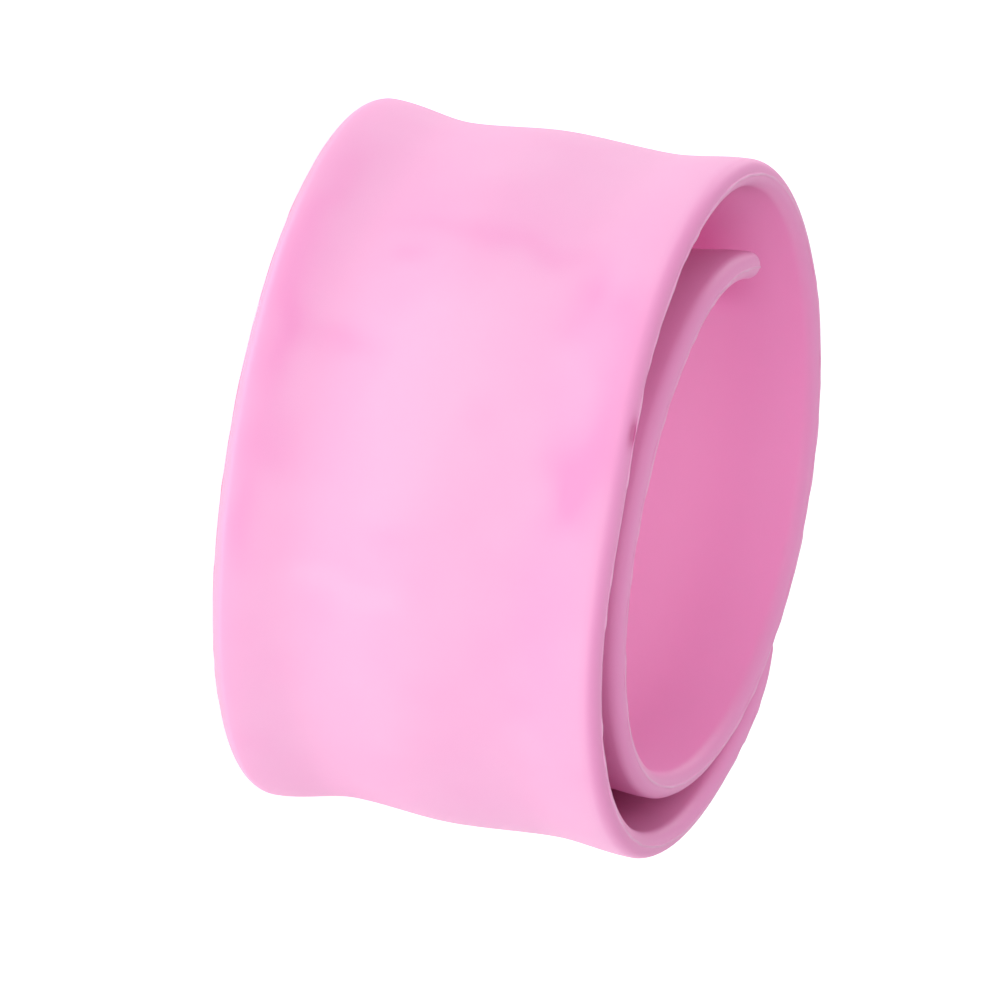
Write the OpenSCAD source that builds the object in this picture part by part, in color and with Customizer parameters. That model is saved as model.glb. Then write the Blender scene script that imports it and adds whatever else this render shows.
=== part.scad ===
// Slap bracelet: one flat band of soft silicone, curled up on itself as it closes round a wrist.
// The axis of the coil is Z, and the band lies on its lower rim, on the plane z = 0.
// The middle of the full outer turn is at x = 0, y = 0, and the band winds inwards clockwise.

/* [Band] */
// Length of the band, laid out straight
band_len = 203.3; // [185:0.1:230]
// Width of the band, rim to rim
band_w = 25; // [20:0.5:32]
// Thickness of the band, which is also the diameter of its round rims
band_t = 1.7; // [1.2:0.05:2.2]
// Radius of the four corners, seen on the flat of the band
corner_r = 0.8; // [0.6:0.1:5]
// Radius that softens the two cut ends
end_r = 0.5; // [0.1:0.05:0.5]
// Width of the mould line along the middle of each rim
line_w = 0.2; // [0.1:0.05:0.4]
// Height of the mould line above the round of the rim
line_h = 0.1; // [0.02:0.02:0.2]

/* [Cross section] */
// Depth of the hollow beside the lower rim, below the level of the rims
low_hollow = 0.68; // [0.2:0.02:1]
// Depth of the hollow beside the upper rim, below the level of the rims
high_hollow = 0.48; // [0.2:0.02:1]
// Distance from the middle of the band to the bottom of each hollow
hollow_at = 6.6; // [4:0.1:8]
// Depth of the crown along the middle of the band, below the level of the rims
crown_drop = 0.2; // [0:0.02:0.2]

/* [Coil] */
// Outside diameter of the full outer turn, over the rims
coil_d = 43.2; // [38:0.1:60]
// How far the coil is from a true circle: it is flatter towards -Y
out_of_round = 0.4; // [0:0.05:0.6]
// Direction of the outer end, seen from above, from the X axis
tail_angle = 70.5; // [0:0.5:359.5]
// How far the outer end springs off the round of the outer turn
tail_lift = 0.5; // [0:0.05:1]
// Space between the outer end and the turn below it
seat_gap = 0.12; // [0.1:0.02:0.5]
// Widest space that the inner turn leaves inside the outer turn
turn_gap = 4.8; // [1:0.1:6]

/* [Hidden] */

// Colour of the moulded silicone
pink = "#FAB4DE";

// Mesh steps: along the band, across its face, and the angles round each rim and each corner
long_steps = 100;
face_steps = 12;
rim_angles = [30, 60];
corner_angles = [0, 10, 20, 30, 45, 60, 75, 90];

// Steps of angle in which the length of the coil is measured, and how far round that goes
walk_step = 2;
walk_end = 1080;

// Radius of the round rims, and of the coil to the middle of the band's thickness
rim_r = band_t / 2;
ring_r = coil_d / 2 - rim_r;

// Angle over which the sprung outer end comes back to the round
tail_arc = 40;

// Angle from the outer end at which the outer turn starts to slip in under it
slip_from = 285;

// How the inner turn draws away from the outer one, by angle from the outer end:
// columns are that angle and the space between the turns, as a share of turn_gap
at = 0;
open = 1;
spread = [
    [0, 0],
    [20, 0.05],
    [40, 0.19],
    [60, 0.34],
    [80, 0.43],
    [110, 0.52],
    [140, 0.63],
    [170, 0.82],
    [200, 1],
    [225, 0.98],
    [250, 0.79],
    [275, 0.46]
];

// A rise from 0 to 1 that starts and ends level
function ease(x) = x * x * (3 - 2 * x);

// x held between 0 and 1
function clamped(x) = min(max(x, 0), 1);

// A cubic between two values with their slopes, at share q of a step of length h
function cubic(q, h, y0, y1, m0, m1) =
    y0 * (1 - ease(q)) + y1 * ease(q) + m0 * h * q * pow(1 - q, 2) - m1 * h * pow(q, 2) * (1 - q);

// The row of the spread table that an angle falls after, and the table's slope at a row
function row_at(a, i = 0) = i + 2 < len(spread) && a >= spread[i + 1][at] ? row_at(a, i + 1) : i;
function row_slope(i) =
    let (p = spread[max(i - 1, 0)], q = spread[min(i + 1, len(spread) - 1)])
    (q[open] - p[open]) / (q[at] - p[at]);

// Share of turn_gap between the turns, at an angle from the outer end
function spread_at(a) =
    let (i = row_at(a), p = spread[i], q = spread[i + 1], h = q[at] - p[at])
    cubic(clamped((a - p[at]) / h), h, p[open], q[open], row_slope(i), row_slope(i + 1));

// How far the coil stands off a true circle
function off_round(a) = let (d = tail_angle - a) -2 * out_of_round * sin(2 * d) * cos(d);

// How far the sprung outer end stands off the round
function lift(a) = tail_lift * pow(max(1 - a / tail_arc, 0), 2);

// How far one turn lies inside the turn above it
function step_in(a) = band_t + seat_gap + turn_gap * spread_at(a);

// How far the outer turn has slipped in, on its way to pass below the outer end
function slip(a) =
    let (h = 360 - slip_from, m = turn_gap * row_slope(0) + 2 * tail_lift / tail_arc)
    cubic(clamped((a - slip_from) / h), h, 0, step_in(0) - tail_lift, 0, m);

// Radius of the coil at an angle from the outer end, to the middle of the band's thickness
function coil_r(a) =
    a < 360 ? ring_r + off_round(a) + lift(a) - slip(a) : coil_r(a - 360) - step_in(a - 360);

// A point of the coil seen from above, moved out by a distance
function coil_point(a, out = 0) =
    (coil_r(a) + out) * [cos(tail_angle - a), sin(tail_angle - a)];

// Length of one step along the coil
function chord(a) = norm(coil_point(a + walk_step) - coil_point(a));

// Length along the coil and the angle reached there, and the angle at a length
walk = [for (a = 0, s = 0; a <= walk_end; s = s + chord(a), a = a + walk_step) [s, a]];
function angle_at(s) = lookup(s, walk);

// How far the band's face lies below the level of its rims, at a height from the middle
function hollow(z) =
    let (deep = z < 0 ? low_hollow : high_hollow, side = abs(z) / hollow_at)
    let (rim = (abs(z) - hollow_at) / (band_w / 2 - rim_r - hollow_at))
    side < 1 ? crown_drop + (deep - crown_drop) * ease(side) : deep * (1 - ease(clamped(rim)));

// Half of the upper rim's outline as [out, z], from the face to the mould line.
// half_w and half_t are half the band's width and thickness at that place
function rim_half(half_w, half_t) =
    let (base = half_w - line_h - rim_r, squash = half_t / rim_r)
    [
        for (v = rim_angles) [squash * rim_r * cos(v), base + rim_r * sin(v)],
        [squash * line_w / 2, base + sqrt(pow(rim_r, 2) - pow(line_w / 2, 2))],
        [squash * line_w / 4, half_w]
    ];

// Closed outline of the band's cross section as [out, z], from the middle of the band
function section(half_w, half_t) =
    let (base = half_w - line_h - rim_r, rim = rim_half(half_w, half_t), n = len(rim))
    [
        for (k = [0 : face_steps]) [half_t, base * (2 * k / face_steps - 1)],
        for (p = rim) p,
        for (k = [n - 1 : -1 : 0]) [-rim[k].x, rim[k].y],
        for (k = [0 : face_steps]) [-half_t, base * (1 - 2 * k / face_steps)],
        for (p = rim) [-p.x, -p.y],
        for (k = [n - 1 : -1 : 0]) [rim[k].x, -rim[k].y]
    ];

// How much a rounding of radius r takes off an edge, at a distance x from where the rounding starts
function rounded_off(r, x) = let (left = max(r - x, 0)) r - sqrt(pow(r, 2) - pow(left, 2));

// Lengths along the band at which its cross section is drawn, from its outer end to its inner end
end_steps = [for (v = corner_angles) corner_r * (1 - cos(v))];
flat_len = band_len - 2 * corner_r;
places = [
    for (x = end_steps) x,
    for (k = [1 : long_steps - 1]) corner_r + flat_len * k / long_steps,
    for (k = [len(end_steps) - 1 : -1 : 0]) band_len - end_steps[k]
];

// The band: its cross section carried along the coil, with both ends closed.
// x is the distance of a place from the nearer end
module silicone_band() {
    rings = [
        for (s = places)
            let (a = angle_at(s), x = min(s, band_len - s))
            let (half_w = band_w / 2 - rounded_off(corner_r, x), half_t = rim_r - rounded_off(end_r, x))
            [
                for (q = section(half_w, half_t))
                    let (c = coil_point(a, q.x - hollow(q.y)))
                    [c.x, c.y, band_w / 2 + q.y]
            ]
    ];
    n = len(rings[0]);
    last = len(rings) - 1;
    points = [for (ring = rings) for (p = ring) p];
    sides = [
        for (i = [0 : last - 1], j = [0 : n - 1])
            let (k = (j + 1) % n)
            each [
                [i * n + j, (i + 1) * n + j, i * n + k],
                [i * n + k, (i + 1) * n + j, (i + 1) * n + k]
            ]
    ];
    outer_end = [for (j = [0 : n - 1]) j];
    inner_end = [for (j = [n - 1 : -1 : 0]) last * n + j];
    color(pink)
        polyhedron(points, concat(sides, [outer_end, inner_end]), convexity = 6);
}

silicone_band();
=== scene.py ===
import bpy
import numpy as np
from mathutils import Matrix, Vector


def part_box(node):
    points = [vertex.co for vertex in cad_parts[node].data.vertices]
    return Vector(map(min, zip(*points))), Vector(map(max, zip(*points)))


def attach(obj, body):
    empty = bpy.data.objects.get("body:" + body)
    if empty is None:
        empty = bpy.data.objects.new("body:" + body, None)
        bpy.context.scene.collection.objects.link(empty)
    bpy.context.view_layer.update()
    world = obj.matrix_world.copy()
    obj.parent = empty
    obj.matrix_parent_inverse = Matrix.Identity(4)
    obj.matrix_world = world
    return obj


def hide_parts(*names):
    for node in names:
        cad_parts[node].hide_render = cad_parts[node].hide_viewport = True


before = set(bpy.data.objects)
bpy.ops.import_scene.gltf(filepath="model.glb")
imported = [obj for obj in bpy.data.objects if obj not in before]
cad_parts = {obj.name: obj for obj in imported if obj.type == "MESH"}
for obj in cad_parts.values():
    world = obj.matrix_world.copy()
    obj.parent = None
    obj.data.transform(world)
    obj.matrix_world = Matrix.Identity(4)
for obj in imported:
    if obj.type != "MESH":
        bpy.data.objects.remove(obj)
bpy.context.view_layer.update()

# The band. The real piece is one flat strip of pink silicone rubber, moulded round a thin spring that
# curls it up: about 1.7 turns, lying on its lower rim. It has round rims, a mould line along each of
# them, a hollow beside each rim, a low crown along the middle, and two free ends with soft corners.
MM = 0.001
low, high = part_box("silicone_band")
BAND_WIDTH = high.z - low.z
BAND_LENGTH = 203.3 * MM
BAND_THICKNESS = 1.7 * MM
CORNER_RADIUS = 0.8 * MM
END_RADIUS = 0.5 * MM
LINE_HEIGHT = 0.1 * MM
LINE_TOP = 0.04 * MM
LINE_SIDE = 0.06 * MM

LOW_HOLLOW = 0.68 * MM
HIGH_HOLLOW = 0.48 * MM
HOLLOW_AT = 6.6 * MM
CROWN_DROP = 0.2 * MM

# The coil. Angles are in degrees, wound clockwise from the outer end as seen from above
COIL_DIAMETER = 43.2 * MM
OUT_OF_ROUND = 0.4 * MM
TAIL_ANGLE = 70.5
TAIL_LIFT = 0.5 * MM
TAIL_ARC = 40
SLIP_FROM = 285
SEAT_GAP = 0.12 * MM
TURN_GAP = 4.8 * MM
TURN = 360
WALK_STEPS = 4 * TURN

# Space that the inner turn leaves inside the outer one: angle from the outer end, share of TURN_GAP
SPREAD_ANGLE, SPREAD_SHARE = np.array([
    (0, 0),
    (20, 0.05),
    (40, 0.19),
    (60, 0.34),
    (80, 0.43),
    (110, 0.52),
    (140, 0.63),
    (170, 0.82),
    (200, 1),
    (225, 0.98),
    (250, 0.79),
    (275, 0.46),
]).T
RIM_RADIUS = BAND_THICKNESS / 2
RING_RADIUS = COIL_DIAMETER / 2 - RIM_RADIUS


def ease(x):
    """A rise from 0 to 1 that starts and ends level: three squares of x less two cubes, x held to 0..1."""
    x = np.clip(x, 0, 1)
    return x * x * (3 - 2 * x)


def cubic(share, step, start, end, start_slope, end_slope):
    """The cubic that joins two values with two slopes, at a share of the step between them."""
    share = np.clip(share, 0, 1)
    values = start * (1 - ease(share)) + end * ease(share)
    slopes = start_slope * (1 - share) - end_slope * share
    return values + step * share * (1 - share) * slopes


def spread_slopes():
    """The slope of the spread table at each row: the rise between its neighbours over their distance."""
    before = np.maximum(np.arange(len(SPREAD_ANGLE)) - 1, 0)
    after = np.minimum(np.arange(len(SPREAD_ANGLE)) + 1, len(SPREAD_ANGLE) - 1)
    return (SPREAD_SHARE[after] - SPREAD_SHARE[before]) / (SPREAD_ANGLE[after] - SPREAD_ANGLE[before])


def step_in(angle):
    """How far one turn lies inside the one above it: the thickness, the seat gap and the table's spread."""
    row = np.clip(np.searchsorted(SPREAD_ANGLE, angle, side="right") - 1, 0, len(SPREAD_ANGLE) - 2)
    step = SPREAD_ANGLE[row + 1] - SPREAD_ANGLE[row]
    slopes = spread_slopes()
    share = cubic(
        (angle - SPREAD_ANGLE[row]) / step,
        step,
        SPREAD_SHARE[row],
        SPREAD_SHARE[row + 1],
        slopes[row],
        slopes[row + 1],
    )
    return BAND_THICKNESS + SEAT_GAP + TURN_GAP * share


def off_round(angle):
    """How far the coil stands off a true circle: flatter towards -Y and fuller on both sides of that, as
    the sine of twice the direction times its cosine."""
    turned = np.radians(TAIL_ANGLE - angle)
    return -2 * OUT_OF_ROUND * np.sin(2 * turned) * np.cos(turned)


def coil_radius(angle):
    """Radius to the middle of the wall: the ring with what it is out of round, plus a spring-off that
    fades as a square over the tail, less a cubic slip in under the outer end, less one step in for the
    second turn."""
    second = angle >= TURN
    angle = np.where(second, angle - TURN, angle)
    lift = TAIL_LIFT * np.clip(1 - angle / TAIL_ARC, 0, 1) ** 2
    reach = TURN - SLIP_FROM
    end_slope = TURN_GAP * spread_slopes()[0] + 2 * TAIL_LIFT / TAIL_ARC
    slip = cubic((angle - SLIP_FROM) / reach, reach, 0, step_in(0) - TAIL_LIFT, 0, end_slope)
    return RING_RADIUS + off_round(angle) + lift - slip - np.where(second, step_in(angle), 0)


def coil_direction(angle):
    """Unit direction, seen from above, at an angle wound clockwise from the outer end."""
    turned = np.radians(TAIL_ANGLE - angle)
    return np.cos(turned), np.sin(turned)


def walk():
    """Angles in small steps and the length of coil up to each: the chords between them, added up."""
    angle = np.linspace(0, 2 * TURN, WALK_STEPS + 1)
    radius = coil_radius(angle)
    x, y = coil_direction(angle)
    chords = np.hypot(np.diff(radius * x), np.diff(radius * y))
    return angle, np.concatenate([[0], np.cumsum(chords)])


def angle_at(length):
    """The angle reached at a length along the coil, looked up in the walk."""
    angle, walked = walk()
    return np.interp(length, walked, angle)


def length_at(at):
    """The length along the coil at an angle, looked up in the walk."""
    angle, walked = walk()
    return np.interp(at, angle, walked)


def hollow(z):
    """Depth of the face below the level of the rims: from the crown to the hollow and up to the rim."""
    deep = np.where(z < 0, LOW_HOLLOW, HIGH_HOLLOW)
    rim = BAND_WIDTH / 2 - RIM_RADIUS - HOLLOW_AT
    inside = CROWN_DROP + (deep - CROWN_DROP) * ease(np.abs(z) / HOLLOW_AT)
    beside = deep * (1 - ease((np.abs(z) - HOLLOW_AT) / rim))
    return np.where(np.abs(z) < HOLLOW_AT, inside, beside)


# Small bends of the upper rim: its drop at the outer end, and the place at the front that was pressed in
TAIL_DROP = 0.6 * MM
DROP_REACH = 7 * MM
LEAN = 1.3 * MM
LEAN_AT = 159
LEAN_REACH = 7.3 * MM


def tail_drop(length, height):
    """How far the upper half of the band sinks towards its outer end: a square that fades over the reach,
    in full at the rim and by the share of the height below it."""
    fade = np.clip(1 - length / DROP_REACH, 0, 1) ** 2
    return TAIL_DROP * fade * np.clip(height / (BAND_WIDTH / 2), 0, None)


def lean(length, height):
    """How far the upper part of the band leans in where it was pressed: a round hill along the band, by
    the square of the height above the lower rim."""
    hill = np.exp(-(((length - length_at(LEAN_AT)) / LEAN_REACH) ** 2))
    return LEAN * hill * (0.5 + height / BAND_WIDTH) ** 2


# Steps of the mesh: along the band, round each corner, across the face, and out from each mould line
LONG_STEPS = 470
CORNER_STEPS = 14
FACE_STEPS = 60
RIM_STEPS = 18
RIM_CROWDING = 1.9


def stations():
    """Places along the band as length, half width and half thickness: even steps between rounded ends."""
    turned = np.radians(np.linspace(0, 90, CORNER_STEPS + 1))
    inset = CORNER_RADIUS * (1 - np.cos(turned))
    narrow = BAND_WIDTH / 2 - CORNER_RADIUS * (1 - np.sin(turned))
    cut = np.clip(END_RADIUS - inset, 0, None)
    thin = RIM_RADIUS - END_RADIUS + np.sqrt(END_RADIUS**2 - cut**2)
    middle = np.linspace(CORNER_RADIUS, BAND_LENGTH - CORNER_RADIUS, LONG_STEPS + 1)[1:-1]
    length = np.concatenate([inset, middle, BAND_LENGTH - inset[::-1]])
    half_width = np.concatenate([narrow, np.full(len(middle), BAND_WIDTH / 2), narrow[::-1]])
    half_thickness = np.concatenate([thin, np.full(len(middle), RIM_RADIUS), thin[::-1]])
    return length, half_width, half_thickness


def soft_noise(along, across, cell, seed):
    """Smooth noise from -1 to 1: random values on a square grid of a cell's size, eased both ways."""
    u, v = along / cell + 1, across / cell + 1
    column, row = np.floor(u).astype(int), np.floor(v).astype(int)
    grid = np.random.default_rng(seed).uniform(-1, 1, (column.max() + 2, row.max() + 2))
    u, v = ease(u - column), ease(v - row)
    low_row = grid[column, row] * (1 - u) + grid[column + 1, row] * u
    high_row = grid[column, row + 1] * (1 - u) + grid[column + 1, row + 1] * u
    return low_row * (1 - v) + high_row * v


# Nicks in the mould lines: length along the band, half length, and the share of the line that is left
NICKS = [
    (8.6 * MM, 0.3 * MM, 0.2),
    (28.1 * MM, 0.25 * MM, 0.3),
    (65.6 * MM, 0.8 * MM, 0.1),
    (94.1 * MM, 0.3 * MM, 0.4),
    (142.1 * MM, 0.35 * MM, 0.2),
    (169.1 * MM, 0.25 * MM, 0.3),
]

# How uneven the mould lines are: length of a cell, share of the height that is lost, sideways wobble,
# the painted highlight along them, and the seeds of the noise
LINE_CELL = 0.9 * MM
LINE_CHANGE = 0.45
LINE_WOBBLE = 0.07 * MM
LINE_HIGHLIGHT = 1.1
LOW_LINE_SEED = 21
HIGH_LINE_SEED = 22
WOBBLE_SEED = 23


def line_share(length, seed):
    """Height of a mould line along the band as a share: eased noise below 1, cut down at each nick."""
    noise = soft_noise(length, np.zeros_like(length), LINE_CELL, seed)
    share = 1 - LINE_CHANGE * ease((1 + noise) / 2)
    for at, reach, left in NICKS:
        share *= 1 - (1 - left) * np.exp(-(((length - at) / reach) ** 2))
    return share


def rim_arc():
    """Angles of the steps round a rim from its mould line, crowded towards the line by a power, and the
    share of the line's height at each: full over its flat top, then eased down its side."""
    arc = (np.linspace(0, 1, RIM_STEPS + 1) ** RIM_CROWDING) * np.pi / 2
    return arc, 1 - ease((arc * RIM_RADIUS - LINE_TOP) / LINE_SIDE)


def half_outline(half_width, half_thickness, low_line, high_line):
    """Outer half of the cross section as out, height and share of the mould line: a quarter round from the
    lower mould line, the face, and a quarter round to the upper one, each line a low ridge on its round."""
    arc, ridge = rim_arc()
    low_ridge, high_ridge = low_line[:, None] * ridge, high_line[:, None] * ridge[::-1]
    low_rim = RIM_RADIUS + LINE_HEIGHT * low_ridge
    high_rim = RIM_RADIUS + LINE_HEIGHT * high_ridge
    face = np.linspace(-1, 1, FACE_STEPS + 1)[1:-1]
    base = (half_width - LINE_HEIGHT - RIM_RADIUS)[:, None]
    level = np.full((len(half_width), len(face)), RIM_RADIUS)
    out = np.concatenate([low_rim * np.sin(arc), level, high_rim * np.sin(arc[::-1])], axis=1)
    out = half_thickness[:, None] / RIM_RADIUS * out
    low_part, high_part = -base - low_rim * np.cos(arc), base + high_rim * np.cos(arc[::-1])
    height = np.concatenate([low_part, base * face, high_part], axis=1)
    return out, height, np.concatenate([low_ridge, np.zeros_like(level), high_ridge], axis=1)


# Soft places of the outer face, where the pale bloom on the silicone is thicker or thinner and the
# face sinks a little: angle from the outer end, height from the middle of the band, reach along and
# across, bloom, sink
PATCHES = [
    (138, -6.0 * MM, 1.1 * MM, 2.2 * MM, 0.28, 0),
    (136, -2.0 * MM, 0.9 * MM, 2.4 * MM, 0.25, 0),
    (165, -1.1 * MM, 6.5 * MM, 4.5 * MM, 0.35, 0),
    (184, 1.1 * MM, 5.0 * MM, 5.0 * MM, 0.25, 0),
    (220, 0.0 * MM, 3.5 * MM, 9.0 * MM, 0.20, 0),
    (192, 7.6 * MM, 2.3 * MM, 1.4 * MM, -0.45, 0.04 * MM),
    (200, 4.2 * MM, 1.1 * MM, 2.4 * MM, -0.30, 0.03 * MM),
    (200, 0.4 * MM, 1.1 * MM, 2.6 * MM, -0.30, 0.03 * MM),
    (201, -3.6 * MM, 0.8 * MM, 2.6 * MM, -0.15, 0),
    (195, -4.2 * MM, 0.6 * MM, 0.9 * MM, -0.30, 0.02 * MM),
    (178, -6.9 * MM, 1.0 * MM, 2.2 * MM, -0.35, 0.03 * MM),
    (158, -9.4 * MM, 1.8 * MM, 1.6 * MM, -0.40, 0.03 * MM),
    (147, -10.6 * MM, 2.6 * MM, 0.9 * MM, -0.40, 0),
    (174, -10.4 * MM, 4.0 * MM, 1.0 * MM, -0.35, 0),
    (194, -10.3 * MM, 8.0 * MM, 1.4 * MM, -0.50, 0),
    (161, 8.8 * MM, 3.0 * MM, 1.5 * MM, -0.50, 0.05 * MM),
    (147, -1.3 * MM, 1.0 * MM, 2.2 * MM, -0.15, 0),
    (137, 9.0 * MM, 5.0 * MM, 2.5 * MM, -0.30, 0.02 * MM),
    (80, -7.5 * MM, 3.0 * MM, 4.0 * MM, -0.40, 0),
    (177, 11.4 * MM, 8.0 * MM, 1.2 * MM, -0.50, 0),
    (165, 10.5 * MM, 3.2 * MM, 1.3 * MM, -0.35, 0),
    (157, 9.8 * MM, 1.6 * MM, 1.2 * MM, -0.40, 0),
    (188, 10.0 * MM, 2.4 * MM, 1.4 * MM, -0.35, 0),
    (122, -3.5 * MM, 9.0 * MM, 5.5 * MM, 0.20, 0),
]

# The bloom of the whole outer face, the angle past which it fades out, and its fade at the upper rim
FACE_BLOOM = 0.68
BLOOM_END = 300
BLOOM_FADE = 40
HIGH_RIM_FROM = 11.2 * MM
HIGH_RIM_FADE = 1.0 * MM

# The painted sheen on the lower rim: a paler, greyer pink along it
LOW_RIM_FROM = 11.4 * MM
LOW_RIM_FADE = 0.9 * MM
LOW_RIM_SHEEN = 1.0

# Painted light inside the coil: the inner face is coloured paler low down, less so towards the upper rim
INNER_LIGHT = 0.45
INNER_LIGHT_TOP = 9 * MM
INNER_LIGHT_FADE = 5 * MM

# Painted shade where the turns lie close: the silicone is coloured darker inside the outer turn up to an
# angle, most of all low down, and on the outer face of the free inner end, in the outer turn's shadow
INNER_SHADE = 1.2
INNER_SHADE_TOP = 10.5 * MM
INNER_SHADE_DEPTH = 6 * MM
INNER_SHADE_END = 289
INNER_SHADE_FADE = 13
END_SHADE = 0.25
END_SHADE_FROM = 530
END_SHADE_FADE = 25

# Noise on the outer face: how far it shifts the patches, its clouds of bloom as cell and share, and the
# low waves of the face
WARP_CELL = 2.5 * MM
WARP = 0.6 * MM
WARP_ALONG_SEED = 11
WARP_ACROSS_SEED = 12
CLOUD_CELLS = [(5 * MM, 0.09), (2.2 * MM, 0.06)]
CLOUD_SEED = 13
WAVE_CELL = 9 * MM
WAVE = 0.02 * MM
WAVE_SEED = 14

# The dent pressed into the outer side of the upper rim, coloured darker as painted shade: angle, height
# from the middle of the band, half length, half width, depth, and how much darker it is
RIM_DENT = (171.5, 12.33 * MM, 0.8 * MM, 0.15 * MM, 0.16 * MM, 1.4)


def surface(length, angle, height):
    """Bloom and painted light, as a share, and sink, as a length, over the outer face: each patch is a soft
    round hill on places that noise has shifted, with finer clouds on top. The bloom fades out at the upper
    rim and late on the way round. Below 0 it is painted shade, as on the free inner end and in the rim
    dent, and above 1 a painted sheen on the lower rim."""
    across = height + BAND_WIDTH / 2
    shifted_along = length + WARP * soft_noise(length, across, WARP_CELL, WARP_ALONG_SEED)
    shifted_across = height + WARP * soft_noise(length, across, WARP_CELL, WARP_ACROSS_SEED)
    clouds = sum(share * soft_noise(length, across, cell, CLOUD_SEED) for cell, share in CLOUD_CELLS)
    bloom_and_painted_light = FACE_BLOOM + clouds
    sink = WAVE * (1 + soft_noise(length, across, WAVE_CELL, WAVE_SEED)) / 2
    for at, up, reach_along, reach_across, paler, deep in PATCHES:
        along = (shifted_along - length_at(at)) / reach_along
        hill = np.exp(-(along**2) - ((shifted_across - up) / reach_across) ** 2)
        bloom_and_painted_light += paler * hill
        sink += deep * hill
    # Painted sheen on the lower rim
    low_rim = ease((-height - LOW_RIM_FROM) / LOW_RIM_FADE)
    high_rim = ease((height - HIGH_RIM_FROM) / HIGH_RIM_FADE)
    late = ease((angle - BLOOM_END) / BLOOM_FADE)
    # Painted shade on the outer face of the free inner end, where the outer turn shadows it
    end_shade = END_SHADE * ease((angle - END_SHADE_FROM) / END_SHADE_FADE)
    bloom_and_painted_light = (np.clip(bloom_and_painted_light, 0, 1) * (1 - late) - end_shade) * (1 - high_rim) + LOW_RIM_SHEEN * low_rim
    # The dent, coloured darker as painted shade
    at, up, half_length, half_width, deep, darker = RIM_DENT
    dent = np.exp(-(((length - length_at(at)) / half_length) ** 2) - ((height - up) / half_width) ** 2)
    return bloom_and_painted_light - darker * dent, sink + deep * dent


def band_points():
    """Points of the band and their bloom and painted light, as grids of stations by outline: the outline
    carried along the coil, outer half first and its mirror image for the inner half, less the hollows and
    the sinks. The mould lines add a painted highlight to the bloom. The inner half has painted light of its
    own, paler low down by an ease of height, which gives way to painted shade, also eased by height, over
    the first angles."""
    length, half_width, half_thickness = stations()
    low_line, high_line = line_share(length, LOW_LINE_SEED), line_share(length, HIGH_LINE_SEED)
    out, height, line = half_outline(half_width, half_thickness, low_line, high_line)
    angle = angle_at(length)
    bloom_and_painted_light, sink = surface(length[:, None], angle[:, None], height)
    height = height - tail_drop(length[:, None], height)
    wobble = soft_noise(length, np.zeros_like(length), LINE_CELL, WOBBLE_SEED)
    wobble = LINE_WOBBLE * wobble[:, None] * line
    out = np.concatenate([out - sink + wobble, -out[:, ::-1] + wobble[:, ::-1]], axis=1)
    # Painted shade inside the outer turn, darkest low down, up to an angle; past it the painted light below
    # takes over
    after_shade = ease((angle[:, None] - INNER_SHADE_END) / INNER_SHADE_FADE)
    painted_shade = INNER_SHADE * ease((INNER_SHADE_TOP - height) / INNER_SHADE_DEPTH) * (1 - after_shade)
    # Painted light: the inner face paler low down, past that angle
    inner_light = INNER_LIGHT * ease((INNER_LIGHT_TOP - height) / INNER_LIGHT_FADE) * after_shade - painted_shade
    # The mould lines add a painted highlight on both halves
    bloom_and_painted_light = np.concatenate([bloom_and_painted_light + LINE_HIGHLIGHT * line, (inner_light + LINE_HIGHLIGHT * line)[:, ::-1]], axis=1)
    height = np.concatenate([height, height[:, ::-1]], axis=1)
    x, y = coil_direction(angle)
    radius = coil_radius(angle)[:, None] + out - hollow(height) - lean(length[:, None], height)
    return np.stack([radius * x[:, None], radius * y[:, None], BAND_WIDTH / 2 + height], axis=2), bloom_and_painted_light


def band_faces(rows, around):
    """Four-sided faces between neighbouring stations, and between the two halves of each end's outline."""
    index = np.arange(rows * around).reshape(rows, around)
    here, there = index[:-1], index[1:]
    sides = [here, np.roll(here, -1, 1), np.roll(there, -1, 1), there]
    outer_side, inner_side = index[:, : around // 2], index[:, : around // 2 - 1 : -1]
    first = [outer_side[0, 1:], outer_side[0, :-1], inner_side[0, :-1], inner_side[0, 1:]]
    last = [outer_side[-1, :-1], outer_side[-1, 1:], inner_side[-1, 1:], inner_side[-1, :-1]]
    return np.concatenate([np.stack(part, -1).reshape(-1, 4) for part in (sides, first, last)])


def piece_from(name, points, faces):
    """A smooth mesh object at the origin from an array of points and an array of faces."""
    mesh = bpy.data.meshes.new(name)
    mesh.from_pydata(points.reshape(-1, 3).tolist(), [], faces.tolist())
    mesh.polygons.foreach_set("use_smooth", np.ones(len(faces), bool))
    mesh.update()
    piece = bpy.data.objects.new(name, mesh)
    bpy.context.scene.collection.objects.link(piece)
    return piece


def linear(hex_colour):
    """A linear colour with alpha from an sRGB hex value: each channel by the sRGB curve."""
    channels = [int(hex_colour[i : i + 2], 16) / 255 for i in (1, 3, 5)]
    return [c / 12.92 if c <= 0.04045 else ((c + 0.055) / 1.055) ** 2.4 for c in channels] + [1]


def node(tree, kind, settings=None, **links):
    """Adds a node, sets its properties and its sockets, and links the sockets that are given a source."""
    made = tree.nodes.new(kind)
    for name, value in (settings or {}).items():
        if name in made.inputs:
            made.inputs[name].default_value = value
        else:
            setattr(made, name, value)
    for name, source in links.items():
        tree.links.new(source, made.inputs[name.replace("_", " ")])
    return made


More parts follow.
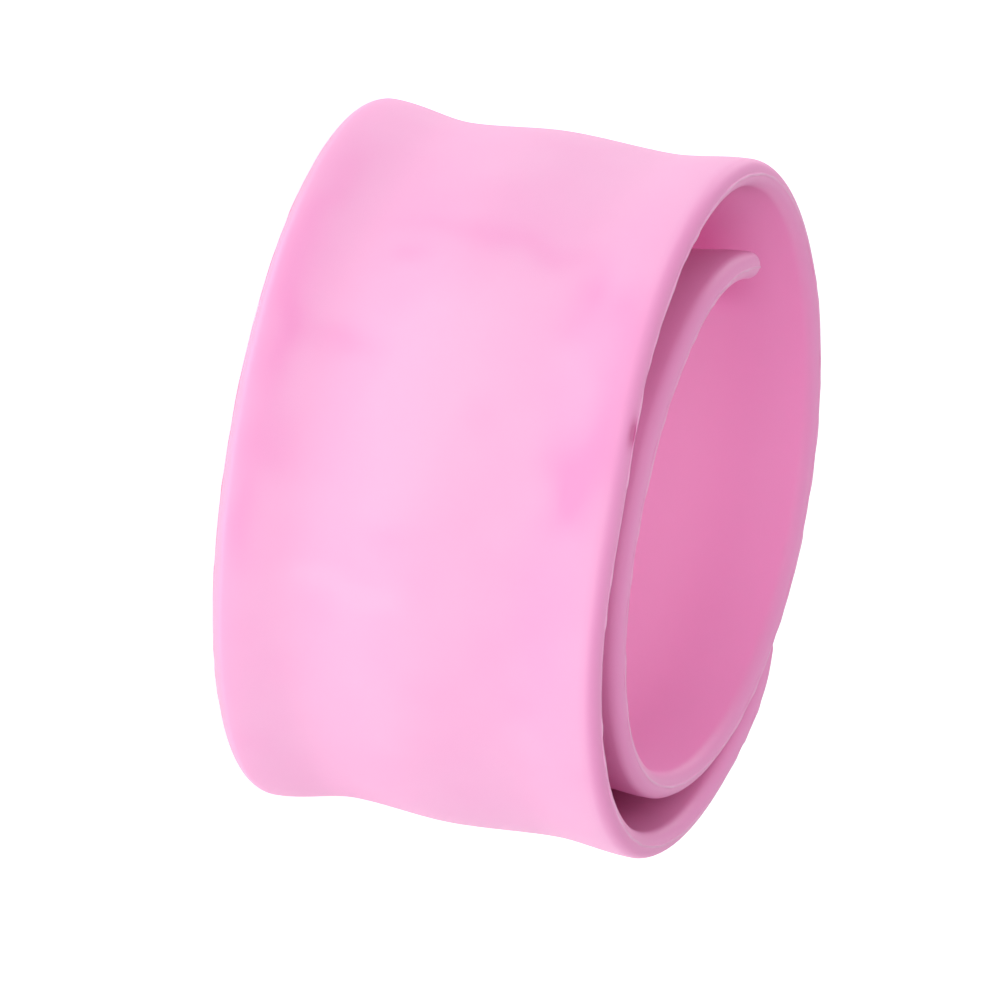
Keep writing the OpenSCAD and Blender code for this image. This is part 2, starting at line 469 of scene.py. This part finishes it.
# Silicone rubber, coloured all through and moulded in a blasted tool: a satin skin that catches soft
# light without a sharp reflection, and lets a little light through at its rims. A thin pale bloom, in
# soft clouds on the outer face, turns the pink milky. Painted shade darkens it deep in the coil, on the
# free inner end and in the rim dent, painted light makes the inner face paler low down, and a painted
# greyish sheen lies on the lower rim and a painted highlight on the mould lines.
DEEP_PINK = "#F6A0D3"
BLOOM_PINK = "#FABCE1"
SHADE_PINK = "#DA6EA8"
SHEEN_PINK = "#E4B6CB"
PLAIN_ROUGHNESS = 0.5
BLOOM_ROUGHNESS = 0.62
GRAIN = 0.22 * MM
GRAIN_DEPTH = 0.004 * MM


def silicone_rubber():
    """Silicone: a deep pink that its bloom makes paler and a little rougher, with a fine moulded grain,
    drawn at about three times the size of the real grain so that it shows. The colour runs over four
    even stops: painted shade at a bloom of -1, deep at 0, pale at 1 and a painted sheen at 2."""
    material = bpy.data.materials.new("silicone_rubber")
    material.use_nodes = True
    tree = material.node_tree
    tree.nodes.clear()
    place = node(tree, "ShaderNodeTexCoord")
    bloom_and_painted_light = node(tree, "ShaderNodeAttribute", {"attribute_name": "bloom_and_painted_light"})
    share = node(
        tree,
        "ShaderNodeMapRange",
        {"From Min": -1.0, "From Max": 2.0},
        Value=bloom_and_painted_light.outputs["Fac"],
    )
    colour = node(tree, "ShaderNodeValToRGB", Fac=share.outputs["Result"])
    stops = colour.color_ramp.elements
    # The stops run from painted shade, through the deep and pale pinks, to a painted sheen
    stops[0].color = linear(SHADE_PINK)
    stops[1].color = linear(SHEEN_PINK)
    stops.new(1 / 3).color = linear(DEEP_PINK)
    stops.new(2 / 3).color = linear(BLOOM_PINK)
    rough = node(
        tree,
        "ShaderNodeMapRange",
        {"To Min": PLAIN_ROUGHNESS, "To Max": BLOOM_ROUGHNESS},
        Value=bloom_and_painted_light.outputs["Fac"],
    )
    grain = node(
        tree,
        "ShaderNodeTexNoise",
        {"Scale": 1 / GRAIN, "Detail": 2.0, "Roughness": 0.6},
        Vector=place.outputs["Object"],
    )
    relief = node(
        tree,
        "ShaderNodeBump",
        {"Strength": 1.0, "Distance": GRAIN_DEPTH},
        Height=grain.outputs["Fac"],
    )
    skin = node(
        tree,
        "ShaderNodeBsdfPrincipled",
        {
            "IOR": 1.41,
            "Subsurface Weight": 0.06,
            "Subsurface Radius": (1.0, 0.6, 0.75),
            "Subsurface Scale": 0.6 * MM,
        },
        Base_Color=colour.outputs["Color"],
        Roughness=rough.outputs["Result"],
        Normal=relief.outputs["Normal"],
    )
    node(tree, "ShaderNodeOutputMaterial", Surface=skin.outputs["BSDF"])
    return material


points, bloom_and_painted_light = band_points()
band = piece_from("moulded_band", points, band_faces(*points.shape[:2]))
# The bloom attribute also carries the painted shade, painted light and painted sheen
bloom_and_light_values = band.data.attributes.new("bloom_and_painted_light", "FLOAT", "POINT").data
bloom_and_light_values.foreach_set("value", bloom_and_painted_light.ravel().astype(np.float32))
band.data.materials.append(silicone_rubber())
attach(band, "root")
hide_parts("silicone_band")

# The floor is a plain sheet of pale card, laid flat under the band: matt, so that it has no gloss, and
# lit so evenly that it glows a little and shows no hard shadow.
FLOOR_REACH = 3.0
CARD_WHITE = "#F4F4F4"
CARD_ROUGHNESS = 0.9
FLOOR_GLOW = 0.58
corners = FLOOR_REACH * np.array([[-1, -1, 0], [1, -1, 0], [1, 1, 0], [-1, 1, 0]])
floor = piece_from("floor", corners, np.array([[0, 1, 2, 3]]))
floor_paint = bpy.data.materials.new("matt_white_card")
floor_paint.use_nodes = True
card = floor_paint.node_tree.nodes["Principled BSDF"].inputs
card["Base Color"].default_value = linear(CARD_WHITE)
card["Roughness"].default_value = CARD_ROUGHNESS
card["Emission Color"].default_value = linear("#FFFFFF")
card["Emission Strength"].default_value = FLOOR_GLOW
floor.data.materials.append(floor_paint)

# Studio light: large soft boxes stand low round the floor, two hang a little higher in front, one is
# high behind and one high in front, and the pale walls of the room add a soft light from all sides.
# Columns: direction round the band from the front, height angle, watts
SOFT_BOXES = [
    (45, 5, 0.72),
    (90, 5, 1.18),
    (135, 5, 0.9),
    (180, 16, 0.6),
    (225, 5, 2.71),
    (270, 5, 0.77),
    (15, 16, 2.12),
    (330, 36, 1.5),
    (180, 64, 1.9),
    (315, 64, 0.39),
]
BOX_SIZE = 0.5
BOX_DISTANCE = 1.0
for round_angle, height_angle, watts in SOFT_BOXES:
    lamp = bpy.data.lights.new(f"soft_box_{round_angle}_{height_angle}", "AREA")
    lamp.size = BOX_SIZE
    lamp.energy = watts
    box = bpy.data.objects.new(lamp.name, lamp)
    bpy.context.scene.collection.objects.link(box)
    turned, raised = np.radians(round_angle), np.radians(height_angle)
    level = np.cos(raised)
    box.location = BOX_DISTANCE * Vector((np.sin(turned) * level, -np.cos(turned) * level, np.sin(raised)))
    box.rotation_euler = (-box.location).to_track_quat("-Z", "Y").to_euler()

WALL_GLOW = 0.3
world = bpy.data.worlds.new("pale_room")
world.use_nodes = True
walls = world.node_tree.nodes["Background"].inputs
walls["Color"].default_value = linear("#FFFFFF")
walls["Strength"].default_value = WALL_GLOW
bpy.context.scene.world = world
bpy.context.scene.view_settings.view_transform = "Standard"

# The camera stands low over the floor and is turned on its side, as the photograph's is to the band.
# Its distance and the scale of the picture are counted in pixels as they measure at the band. The
# middle of the band comes at MIDDLE_AT, in pixels from the picture's upper left corner, and the sensor
# is in millimetres.
CAMERA_HEIGHT_ANGLE = np.radians(16.74)
CAMERA_ROLL = np.radians(99.8)
SENSOR_WIDTH = 36
CLIP_END = 10
IMAGE_SIDE = 1000
WIDTH_PIXELS = 408.5
DISTANCE_PIXELS = 26000
MIDDLE_AT = (521.9, 479.0)
PIXEL = BAND_WIDTH / WIDTH_PIXELS
CAMERA_DISTANCE = DISTANCE_PIXELS * PIXEL

# The axes of a level camera, and the same axes rolled on their side
level_right = np.array([1, 0, 0])
level_up = np.array([0, np.sin(CAMERA_HEIGHT_ANGLE), np.cos(CAMERA_HEIGHT_ANGLE)])
back = np.array([0, -np.cos(CAMERA_HEIGHT_ANGLE), np.sin(CAMERA_HEIGHT_ANGLE)])
right = np.cos(CAMERA_ROLL) * level_right + np.sin(CAMERA_ROLL) * level_up
up = np.cos(CAMERA_ROLL) * level_up - np.sin(CAMERA_ROLL) * level_right
middle = np.array([0, 0, BAND_WIDTH / 2])
aim = middle + PIXEL * ((IMAGE_SIDE / 2 - MIDDLE_AT[0]) * right - (IMAGE_SIDE / 2 - MIDDLE_AT[1]) * up)
place = aim + CAMERA_DISTANCE * back
lens = bpy.data.cameras.new("camera")
lens.sensor_width = SENSOR_WIDTH
lens.lens = SENSOR_WIDTH * CAMERA_DISTANCE / (IMAGE_SIDE * PIXEL)
lens.clip_end = CLIP_END
camera = bpy.data.objects.new("camera", lens)
bpy.context.scene.collection.objects.link(camera)
turned_place = np.column_stack([right, up, back, place])
camera.matrix_world = Matrix([*turned_place.tolist(), [0, 0, 0, 1]])
bpy.context.scene.camera = camera
